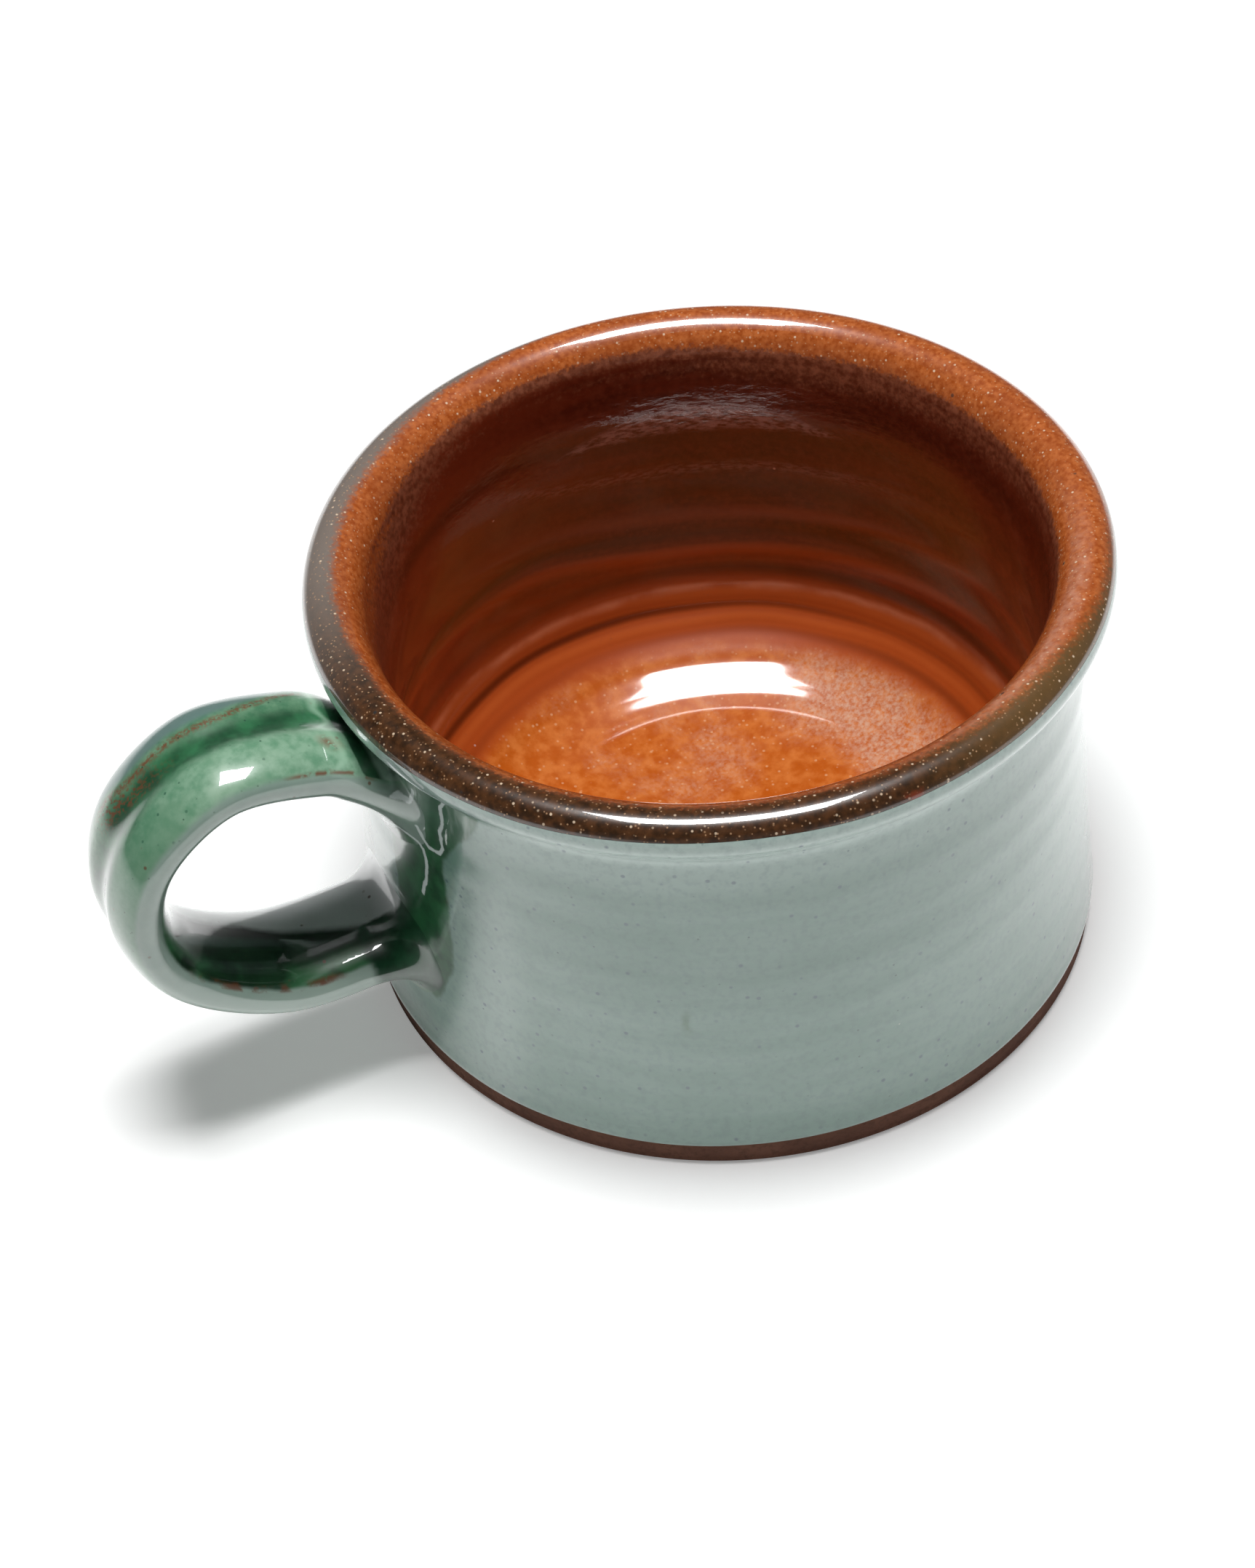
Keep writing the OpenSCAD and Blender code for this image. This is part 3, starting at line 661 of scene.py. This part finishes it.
# one material: heights and radii are in millimetres, and turn is the angle round the mug in degrees
# from the handle, growing towards the near side
class Finish(Nodes):
    def __init__(self, name, settings):
        self.material = bpy.data.materials.new(name)
        self.material.use_nodes = True
        super().__init__(self.material.node_tree)
        self.shader = self.tree.nodes["Principled BSDF"]
        for key, value in settings.items():
            self.shader.inputs[key].default_value = value
        self.place = self.add("ShaderNodeTexCoord").outputs["Object"]
        x, y, z = self.add("ShaderNodeSeparateXYZ", {"Vector": self.place}).outputs
        self.z = self.times(z, 1 / mm)
        self.radius = self.times(self.calc("SQRT", self.calc("MULTIPLY_ADD", x, x, self.times(y, y))), 1 / mm)
        self.turn = self.times(self.calc("ARCTAN2", self.times(y, -1.0), self.times(x, -1.0)), 180 / math.pi)

    def wire(self, socket, key):
        self.tree.links.new(socket, self.shader.inputs[key])

    # a value that shellPiece put on the mesh
    def mark(self, name):
        return self.add("ShaderNodeAttribute", attribute_name=name).outputs["Fac"]

    # cloudy noise; a flatten above 1 lays it in level bands, one below 1 stands it up in streaks
    def noise(self, scale, detail=3, flatten=1, rough=0.55):
        vector = self.place
        if flatten != 1:
            vector = self.add("ShaderNodeMapping", {"Vector": vector, "Scale": (1, 1, flatten)}).outputs[0]
        return self.add("ShaderNodeTexNoise", {"Vector": vector, "Scale": scale, "Detail": detail,
                                               "Roughness": rough}).outputs[0]

    # a value moved up and down by a noise, by an amount in the value's own unit
    def ragged(self, value, scale, amount):
        return self.calc("MULTIPLY_ADD", self.minus(self.noise(scale), 0.5), amount * 2, value)

    # one inside a band of a value, falling to nothing over a feather at both sides
    def band(self, value, low, high, feather):
        return self.times(self.ease(value, low - feather, low + feather),
                          self.ease(value, high + feather, high - feather))

    # noise eased into patches, from start where it is low to end where it is high
    def patches(self, scale, detail, low, high, start=0.0, end=1.0, flatten=1):
        return self.ease(self.noise(scale, detail, flatten), low, high, start, end)

    # from one colour to another; a colour is written as 0 to 255 or comes from a socket
    def blend(self, share, a, b):
        a, b = (tint(*c) if isinstance(c, tuple) else c for c in (a, b))
        return self.add("ShaderNodeMix", {0: share, 6: a, 7: b}, data_type="RGBA").outputs[2]

    # two colours in patches
    def mottled(self, scale, detail, low, high, a, b, flatten=1):
        return self.blend(self.patches(scale, detail, low, high, flatten=flatten), a, b)

    # round dots on a jittered lattice, sizes in millimetres; share is how many cells hold one
    def dots(self, spacing, size, share):
        cells = self.add("ShaderNodeTexVoronoi", {"Vector": self.place, "Scale": 1 / mm / spacing})
        near = self.ease(cells.outputs["Distance"], size / spacing, size * 0.4 / spacing)
        pick = self.add("ShaderNodeSeparateColor", {0: cells.outputs["Color"]})
        chosen = self.ease(pick.outputs[0], share + 0.02, share - 0.02)
        return self.times(near, chosen, self.ease(pick.outputs[1], 0.0, 0.6, 0.35, 1.0))

    # dots over a colour
    def specked(self, body, dots, strength, colour):
        return self.blend(self.times(self.dots(*dots), strength), body, colour)

    # a thin line through points given as angle from the handle and height; a degree is 0.9 mm on the wall
    def thinLine(self, points, width, perDegree=0.9):
        u, v = self.ragged(self.times(self.turn, perDegree), 350, 0.4), self.ragged(self.z, 280, 0.4)
        nearest = None
        for (a, p), (b, q) in zip(points, points[1:]):
            du, dv = (b - a) * perDegree, q - p
            squared = du * du + dv * dv
            pu, pv = self.minus(u, a * perDegree), self.minus(v, p)
            along = self.calc("MULTIPLY_ADD", pu, du / squared, self.times(pv, dv / squared))
            along = self.add("ShaderNodeClamp", {"Value": along}).outputs[0]
            eu = self.calc("MULTIPLY_ADD", along, -du, pu)
            ev = self.calc("MULTIPLY_ADD", along, -dv, pv)
            off = self.calc("SQRT", self.calc("MULTIPLY_ADD", eu, eu, self.times(ev, ev)))
            nearest = off if nearest is None else self.calc("MINIMUM", nearest, off)
        return self.ease(self.ragged(nearest, 900, width * 0.5), width, width * 0.45)

    def bump(self, height, distance, strength=1.0, under=None):
        inputs = {"Height": height, "Distance": distance * mm, "Strength": strength}
        if under is not None:
            inputs["Normal"] = under
        return self.add("ShaderNodeBump", inputs).outputs[0]

    # the slightly uneven skin of a melted glaze
    def skin(self, wave=0.05, peel=0.006):
        slow = self.bump(self.noise(110, 2), wave)
        self.normal = self.bump(self.noise(700, 2), peel, 1.0, slow)
        self.wire(self.normal, "Normal")
        self.wire(self.normal, "Coat Normal")


glazeGloss = {"Roughness": 0.3, "Specular IOR Level": 0.5, "Coat Weight": 1.0, "Coat Roughness": 0.03,
              "Coat IOR": 1.75}

# painted reflections: thin pale lines where bright gaps show in the wavy glaze, as angle from the handle and
# height
reflectionLines = [
    [(15.7, 64.8), (17.9, 64.4), (20.3, 64.0), (22.6, 63.2)],
    [(11.6, 53.1), (13.4, 52.3), (13.8, 54.2)],
    [(25.3, 61.8), (20.2, 55.2), (20.3, 53.0), (19.5, 50.3), (19.3, 47.0), (18.4, 45.6), (15.9, 45.2),
     (14.9, 46.0), (14.2, 48.2)],
    [(2.2, 40.9), (9.2, 45.5), (11.4, 44.9), (13.3, 44.5), (14.5, 43.9), (15.0, 42.3), (14.7, 40.1),
     (13.8, 37.3), (12.9, 34.8)]]
reflectionLineStyle = dict(width=0.44, colour=(222, 234, 230))


# outside coat: pale grey-green, dark green beside the handle that is partly pooled glaze and partly painted
# shade
def paintOutside(m):
    cloud = m.plus(m.noise(55, 4), m.noise(45, 3, 8))
    body = m.blend(m.ease(cloud, 0.75, 1.3), (109, 145, 131), (124, 156, 144))
    # painted reflection: paler towards the top under the lip, where the glaze reflects the pale table
    body = m.blend(m.ease(m.z, 48, 58, 0, 0.8), body, (166, 190, 181))
    # painted light: a paler patch beside the pool, lifting the shade and dark reflection of the handle
    palePatch = m.times(m.band(m.turn, 19, 31, 5), m.ease(m.z, 46, 40, 0, 0.5))
    body = m.blend(palePatch, body, (166, 188, 180))
    body = m.blend(m.patches(900, 2, 0.4, 0.75, 0, 0.3), body, (84, 112, 112))
    body = m.specked(body, (2.6, 0.42, 0.95), 0.8, (66, 92, 106))
    body = m.specked(body, (1.9, 0.22, 0.3), 0.75, (56, 84, 84))
    body = m.specked(body, (9, 0.22, 0.4), 1.0, (216, 222, 214))
    # a small green smear on the front
    smear = m.times(m.band(m.ragged(m.turn, 420, 0.8), 58.2, 59.2, 0.8),
                    m.band(m.ragged(m.z, 420, 0.8), 25.8, 29.6, 1.2),
                    m.patches(800, 3, 0.35, 0.6, 0.3, 0.85, 0.5))
    body = m.blend(smear, body, (56, 104, 70))
    # the pooled green, and under the lip a lighter green with pale streaks that are a painted reflection of
    # the pale table
    deep = m.mottled(240, 3, 0.3, 0.7, (18, 70, 40), (46, 106, 66))
    deep = m.specked(deep, (1.6, 0.25, 0.35), 0.7, (8, 34, 22))
    deep = m.specked(deep, (4, 0.25, 0.2), 1.0, (120, 70, 36))
    deep = m.blend(m.ease(m.z, 47, 54, 0, 0.6), deep, (82, 124, 100))
    streaks = m.times(m.patches(300, 3, 0.48, 0.6, 0, 0.8, 0.25), m.ease(m.z, 46, 53))
    deep = m.blend(streaks, deep, (150, 172, 158))
    # pooled green, partly painted shade where the handle and lip shade the wall
    body = m.blend(m.ease(m.ragged(m.mark("poolShade"), 260, 0.3), 0.3, 0.68), body, deep)
    # painted reflections: thin pale lines where bright gaps show in the wavy glaze
    for points in reflectionLines:
        body = m.blend(m.thinLine(points, reflectionLineStyle["width"]), body, reflectionLineStyle["colour"])
    m.wire(body, "Base Color")
    m.skin(0.05)


# the lip's colours, shared by the band over it and the top of the lining
def lipColours(m):
    orange = m.mottled(1300, 4, 0.3, 0.7, (154, 70, 22), (190, 106, 54))
    orange = m.blend(m.patches(160, 3, 0.35, 0.65, 0, 0.35), orange, (142, 68, 34))
    # painted reflection: a pinkish sheen on the lip's crest along one stretch of the rim
    sheen = m.times(m.band(m.radius, 48.8, 51.4, 0.9), m.band(m.turn, 100, 156, 16),
                    m.patches(900, 4, 0.3, 0.7, 0.15, 0.6))
    orange = m.blend(sheen, orange, (204, 148, 122))
    brown = m.mottled(900, 5, 0.3, 0.7, (46, 28, 13), (84, 52, 28))
    # painted reflection: the brown turns grey round past the handle, where the lip reflects the pale table
    brown = m.blend(m.ease(m.turn, 12, -28, 0, 0.85), brown, (130, 120, 112))
    brown = m.blend(m.ease(m.turn, 88, 118, 0, 0.7), brown, (112, 86, 52))
    share = m.ragged(m.ragged(m.mark("brown"), 1800, 0.45), 260, 0.1)
    body = m.blend(m.ease(share, 0.12, 0.88), orange, brown)
    body = m.specked(body, (0.6, 0.17, 0.8), 0.5, (212, 168, 128))
    body = m.specked(body, (1.1, 0.24, 0.5), 0.85, (226, 202, 174))
    return m.specked(body, (4, 0.4, 0.5), 0.8, (40, 46, 48))


# from the lip's colours through a grainy brown to the inside's own
def insideColours(m, inside):
    share = m.ragged(m.ragged(m.mark("shade"), 1800, 0.3), 300, 0.12)
    grain = m.mottled(1100, 4, 0.3, 0.7, (100, 48, 28), (142, 82, 58))
    body = m.blend(m.ease(share, 0.12, 0.38), lipColours(m), grain)
    return m.blend(m.ease(share, 0.5, 0.95), body, inside)


# band over the lip: brown on its outer side at the front and left, orange-brown elsewhere
def paintRim(m):
    spot = m.times(m.band(m.ragged(m.turn, 500, 1.0), 90.6, 93.4, 0.6), m.band(m.z, 60, 65.4, 0.6),
                   m.patches(900, 3, 0.35, 0.6))
    body = m.blend(spot, lipColours(m), (128, 48, 20))
    m.wire(m.blend(m.mark("shade"), body, insideColours(m, (78, 22, 9))), "Base Color")
    m.skin(0.04)


# painted sheen on the upper back wall, a reflection painted as a patch under an arch and a thin arc below it
def backSheen(m):
    fromMiddle = m.times(m.minus(m.turn, -114), 1 / 13.4)
    arch = m.calc("MULTIPLY_ADD", fromMiddle, m.times(fromMiddle, -1.0), 55.0)
    patch = m.times(m.ease(m.ragged(m.minus(arch, m.z), 300, 0.8), 0.0, 1.5),
                    m.ease(m.ragged(m.z, 300, 0.8), 49.7, 50.9))
    rise = m.times(m.larger(m.minus(m.turn, -103), 0.0), 1 / 13)
    fromArc = m.minus(m.z, m.calc("MULTIPLY_ADD", rise, rise, 43.2))
    arc = m.times(m.band(m.ragged(fromArc, 200, 1.0), -0.9, 0.9, 0.8), m.band(m.turn, -148, -76, 14))
    return m.times(m.larger(m.times(patch, 0.6), m.times(arc, 0.3)), m.patches(700, 4, 0.35, 0.65, flatten=3))


def innerWallColours(m):
    red = m.mottled(60, 4, 0.35, 0.7, (64, 16, 6), (86, 26, 10), 6)
    red = m.blend(m.patches(900, 4, 0.35, 0.7, 0, 0.35), red, (112, 50, 30))
    red = m.blend(m.band(m.turn, -75, -10, 30), red, (112, 40, 17))
    red = m.blend(m.ease(m.ragged(m.z, 200, 1.0), 32, 15, 0, 0.85), red, (176, 76, 28))
    # painted light on the rings' ledges and painted shade in the valleys between them
    ledgeLit = m.blend(m.ease(m.z, 40, 18), (122, 46, 20), (190, 90, 38))
    red = m.blend(m.ease(m.mark("ringShading"), 0.05, 1.0, 0, 0.8), red, ledgeLit)
    red = m.blend(m.ease(m.mark("ringShading"), -0.05, -1.0, 0, 0.9), red, (52, 10, 4))
    # the painted sheen on the upper back wall
    red = m.blend(backSheen(m), red, (176, 132, 124))
    # painted highlight: a thin pale line along the crest of the lowest ledge
    crest = m.band(m.ragged(m.z, 90, 0.9), 18.4, 19.4, 0.6)
    crest = m.times(crest, m.patches(120, 3, 0.3, 0.6, 0.1, 0.55))
    red = m.blend(crest, red, (214, 134, 98))
    return m.specked(red, (9, 0.3, 0.4), 1.0, (190, 150, 140))


def cupFloorColours(m):
    orange = m.mottled(420, 5, 0.35, 0.7, (180, 84, 18), (202, 113, 50))
    orange = m.specked(orange, (1.0, 0.3, 0.6), 0.5, (222, 172, 130))
    ringOf = m.band(m.ragged(m.radius, 60, 5), 27, 40, 4)
    sides = m.larger(m.band(m.ragged(m.turn, 60, 12), -180, -135, 14),
                     m.times(m.band(m.turn, -20, 95, 14), 0.8))
    milk = m.larger(m.times(ringOf, sides), m.patches(50, 3, 0.54, 0.72, 0, 0.5))
    milk = m.times(milk, m.patches(1700, 3, 0.2, 0.8))
    return m.blend(m.times(milk, 0.85), orange, (206, 166, 142))


# lining: orange-brown under the lip, deep red-brown wall, orange floor with milky patches
def paintLining(m):
    m.wire(m.ease(m.z, 14, 11.5, 0.55, 1.0), "Coat Weight")
    onFloor = m.ease(m.ragged(m.z, 200, 0.6), 13.2, 11.2)
    m.wire(insideColours(m, m.blend(onFloor, innerWallColours(m), cupFloorColours(m))), "Base Color")
    m.skin(0.012, 0.003)
    upper = m.times(m.ease(m.z, 43, 49), m.noise(300, 3, 2.5))
    m.wire(m.bump(upper, 0.07, 1.0, m.normal), "Coat Normal")


# the strap's pale mottled ridges and the deep groove between them
def ridgeColours(m, across, span):
    ridge = m.mottled(650, 4, 0.3, 0.7, (98, 144, 114), (132, 168, 142))
    ridge = m.blend(m.patches(140, 3, 0.4, 0.65, 0, 0.5), ridge, (154, 182, 158))
    ridge = m.blend(m.ease(m.ragged(span, 160, 0.03), 0.34, 0.44, 0, 0.6), ridge, (66, 120, 88))
    ridge = m.specked(ridge, (1.6, 0.3, 0.4), 0.7, (30, 84, 62))
    ridgeFar = m.mottled(600, 4, 0.3, 0.7, (72, 120, 90), (106, 146, 116))
    green = m.blend(m.ease(across, -0.1, 0.35), ridge, ridgeFar)
    groove = m.mottled(260, 3, 0.3, 0.7, (14, 62, 36), (42, 108, 68))
    shifted = m.plus(m.ragged(across, 200, 0.08), m.ease(span, 0.38, 0.46, 0, 0.14))
    valley = m.times(m.ease(shifted, -0.34, -0.04), m.ease(across, 0.5, 0.2), 0.92)
    return m.blend(valley, green, groove)


# its inner face: dark as painted shade under the arch of the strap, with a pale band of painted reflection
# towards the lower root
def innerFaceColours(m, across, span):
    inner = m.mottled(130, 4, 0.35, 0.7, (10, 30, 17), (26, 60, 36))
    nearPart = m.ease(m.ragged(across, 160, 0.12), -0.45, -0.75)
    inner = m.blend(m.times(m.patches(90, 3, 0.42, 0.56), nearPart), inner, (54, 112, 70))
    lastPart = m.larger(m.minus(span, 0.75), 0.0)
    fromPale = m.calc("MULTIPLY_ADD", lastPart, 3.6, m.ragged(across, 160, 0.06))
    return m.blend(m.ease(fromPale, 0.2, 0.4), inner, (238, 242, 242))


# rust where the glaze ran thin: along the far ridge, in flecks beside it, and on the near edges
def strapRust(m, outer, across, span, past):
    rust = m.times(m.band(past, -0.07, 0.03, 0.05), m.patches(2200, 4, 0.34, 0.6))
    flecks = m.times(m.band(past, -0.45, 0.0, 0.12), m.patches(1800, 4, 0.46, 0.62), m.ease(span, 0.36, 0.44))
    rust = m.times(m.larger(rust, flecks), m.band(span, 0.2, 0.47, 0.02), m.ease(outer, 0.4, 0.7))
    nearEdge = m.ease(across, -0.5, -0.7)
    nearLine = m.times(m.band(m.ragged(outer, 300, 0.08), 0.62, 0.72, 0.05), m.band(span, 0.07, 0.25, 0.02),
                       nearEdge, m.patches(500, 4, 0.42, 0.56))
    innerLine = m.times(m.band(m.ragged(outer, 300, 0.06), -0.82, -0.7, 0.04), m.band(span, 0.66, 0.87, 0.03),
                        nearEdge, m.patches(400, 4, 0.4, 0.6))
    patch = m.times(m.band(m.ragged(span, 160, 0.02), 0.175, 0.205, 0.012), m.band(across, -0.62, -0.42, 0.1),
                    m.patches(1300, 4, 0.4, 0.5))
    return m.larger(m.larger(rust, nearLine), m.larger(innerLine, patch))


# coat on the strap, by its marks: across runs from the near edge to the far one, span from the upper root
# to the lower one, and outer is 1 on its outer face and -1 on its inner one
def paintStrap(m):
    outer, across, span = m.mark("outer"), m.mark("across"), m.mark("span")
    # how far a place lies past the far ridge's line of rust
    rustAt = m.plus(m.ease(span, 0.33, 0.21, 0.45, 0.72), m.ease(span, 0.41, 0.46, 0, 0.18))
    past = m.minus(m.ragged(across, 200, 0.06), rustAt)
    green = m.blend(m.ease(past, 0.02, 0.2), ridgeColours(m, across, span), (98, 126, 120))
    # painted reflection: the strap's sides are painted pale grey-green for the pale table they reflect, paler
    # still low on the loop
    side = m.blend(m.noise(220, 4), (116, 142, 130), (150, 168, 157))
    side = m.blend(m.ease(m.z, 42, 18, 0, 0.6), side, (178, 198, 187))
    body = m.blend(m.ease(m.ragged(outer, 160, 0.12), 0.76, 0.5), green, side)
    onInner = m.ease(m.ragged(outer, 160, 0.06), -0.72, -0.82)
    body = m.blend(onInner, body, innerFaceColours(m, across, span))
    body = m.blend(m.times(strapRust(m, outer, across, span, past), 0.85), body, (112, 62, 40))
    body = m.specked(body, (2.6, 0.36, 0.5), 0.8, (98, 60, 40))
    body = m.specked(body, (1.3, 0.2, 0.5), m.ease(outer, 0.3, 0.6, 0, 0.8), (24, 66, 48))
    # a paler fringe where the strap's top ends above its root
    fringe = m.times(m.band(m.ragged(span, 160, 0.01), 0.175, 0.19, 0.008), m.ease(outer, 0.6, 0.8), 0.6)
    body = m.blend(fringe, body, (150, 186, 160))
    # the pooled green, partly painted shade, with pale streaks of painted reflection close to the wall
    deep = m.mottled(240, 3, 0.3, 0.7, (12, 50, 30), (34, 84, 54))
    nearWall = m.times(m.ease(m.radius, 53.4, 52.4), m.ease(m.z, 48, 52),
                       m.patches(300, 3, 0.35, 0.6, 0.35, 1.0, 0.25))
    deep = m.blend(nearWall, deep, (158, 182, 168))
    body = m.blend(m.ease(m.ragged(m.mark("poolShade"), 260, 0.3), 0.3, 0.7), body, deep)
    # painted reflections: the same thin pale lines where they run onto the strap
    for points in reflectionLines[1:]:
        line = m.times(m.thinLine(points, reflectionLineStyle["width"]), m.ease(m.radius, 58, 56))
        body = m.blend(line, body, reflectionLineStyle["colour"])
    m.wire(body, "Base Color")
    m.skin(0.05)


def paintClay(m):
    body = m.mottled(150, 4, 0.3, 0.7, (112, 75, 60), (130, 89, 71))
    body = m.blend(m.patches(1200, 4, 0.45, 0.7, 0, 0.5), body, (88, 58, 46))
    m.wire(body, "Base Color")
    m.wire(m.bump(m.noise(1400, 4), 0.2, 0.6), "Normal")


liningGloss = {**glazeGloss, "Coat Roughness": 0.09, "Specular IOR Level": 0.15}
clayDull = {"Roughness": 0.85, "Specular IOR Level": 0.3}
finishes = (
    ("outsideGlaze", glazeGloss, paintOutside, [outsideCoat]),
    ("rimGlaze", glazeGloss, paintRim, [rimCoat]),
    ("liningGlaze", liningGloss, paintLining, [liningCoat]),
    ("strapGlaze", glazeGloss, paintStrap, [strapCoat]),
    ("footClay", clayDull, paintClay, [turnedBody, strapBody, upperJoin, lowerJoin]))
for name, settings, paint, pieces in finishes:
    finish = Finish(name, settings)
    paint(finish)
    for piece in pieces:
        piece.data.materials.append(finish.material)
print("materials ready")

# camera, at the photograph's view; the handle points 21 degrees towards it from the side
photoCamera = dict(turn=-21.222, elevation=44.3, roll=-5.768, distance=505.0, asideRight=15.27, asideUp=15.04,
                   lens=78.28, sensor=36, clipStart=0.01)


def placeCamera():
    turn = Matrix.Rotation(math.radians(photoCamera["turn"]), 3, "Z")
    rise, roll = math.radians(photoCamera["elevation"]), math.radians(photoCamera["roll"])
    ahead = turn @ Vector((0, math.cos(rise), -math.sin(rise)))
    level, over = turn @ Vector((1, 0, 0)), turn @ Vector((0, math.sin(rise), math.cos(rise)))
    right = level * math.cos(roll) + over * math.sin(roll)
    up = over * math.cos(roll) - level * math.sin(roll)
    aside = up * photoCamera["asideUp"] - right * photoCamera["asideRight"]
    spot = (aside - ahead * photoCamera["distance"]) * mm
    data = bpy.data.cameras.new("photoCamera")
    data.lens, data.sensor_width = photoCamera["lens"], photoCamera["sensor"]
    data.clip_start = photoCamera["clipStart"]
    camera = bpy.data.objects.new("photoCamera", data)
    camera.matrix_world = Matrix.Translation(spot) @ Matrix((right, up, -ahead)).transposed().to_4x4()
    bpy.context.scene.collection.objects.link(camera)
    bpy.context.scene.camera = camera


# studio in metres: one soft box overhead, a pale table and a dim room with bright walls
studio = dict(boxSize=(0.46, 0.34), boxHeight=1.0, boxPower=12, tableR=3, tableSides=96, table=0.92,
              tableGlow=0.26, wallFade=(0.3, 0.66), wallGlow=1.1, ceilingGlow=0.08)


def placeSoftBox():
    data = bpy.data.lights.new("softBox", "AREA")
    data.shape, data.energy = "RECTANGLE", studio["boxPower"]
    data.size, data.size_y = studio["boxSize"]
    box = bpy.data.objects.new("softBox", data)
    box.location = (0, 0, studio["boxHeight"])
    box.rotation_euler = (0, 0, math.radians(photoCamera["turn"]))
    bpy.context.scene.collection.objects.link(box)


# the table glows a little where the camera or a glaze sees it, and lights nothing
def placeTable():
    bpy.ops.mesh.primitive_circle_add(vertices=studio["tableSides"], radius=studio["tableR"],
                                      fill_type="NGON", location=(0, 0, 0))
    table = bpy.context.object
    table.name = "paleTable"
    cover = bpy.data.materials.new("paleTable")
    cover.use_nodes = True
    t = Nodes(cover.node_tree)
    t.tree.nodes.clear()
    rays = t.add("ShaderNodeLightPath").outputs
    seen = t.larger(t.larger(rays["Is Camera Ray"], rays["Is Glossy Ray"]), rays["Is Transmission Ray"])
    light = t.add("ShaderNodeEmission", {"Strength": t.times(seen, studio["tableGlow"])}).outputs[0]
    paper = t.add("ShaderNodeBsdfDiffuse", {"Color": (studio["table"],) * 3 + (1,)}).outputs[0]
    both = t.add("ShaderNodeAddShader", {0: paper, 1: light}).outputs[0]
    t.add("ShaderNodeOutputMaterial", {"Surface": both})
    table.data.materials.append(cover)


def paintRoom():
    world = bpy.data.worlds.new("studioRoom")
    bpy.context.scene.world = world
    world.use_nodes = True
    w = Nodes(world.node_tree)
    where = w.add("ShaderNodeTexCoord").outputs["Generated"]
    upward = w.add("ShaderNodeSeparateXYZ", {0: where}).outputs["Z"]
    fade = w.ease(upward, *studio["wallFade"], studio["wallGlow"], studio["ceilingGlow"])
    w.tree.links.new(fade, w.tree.nodes["Background"].inputs["Strength"])


placeCamera()
placeSoftBox()
placeTable()
paintRoom()
bpy.context.scene.view_settings.view_transform = "Standard"
print("camera and studio ready")
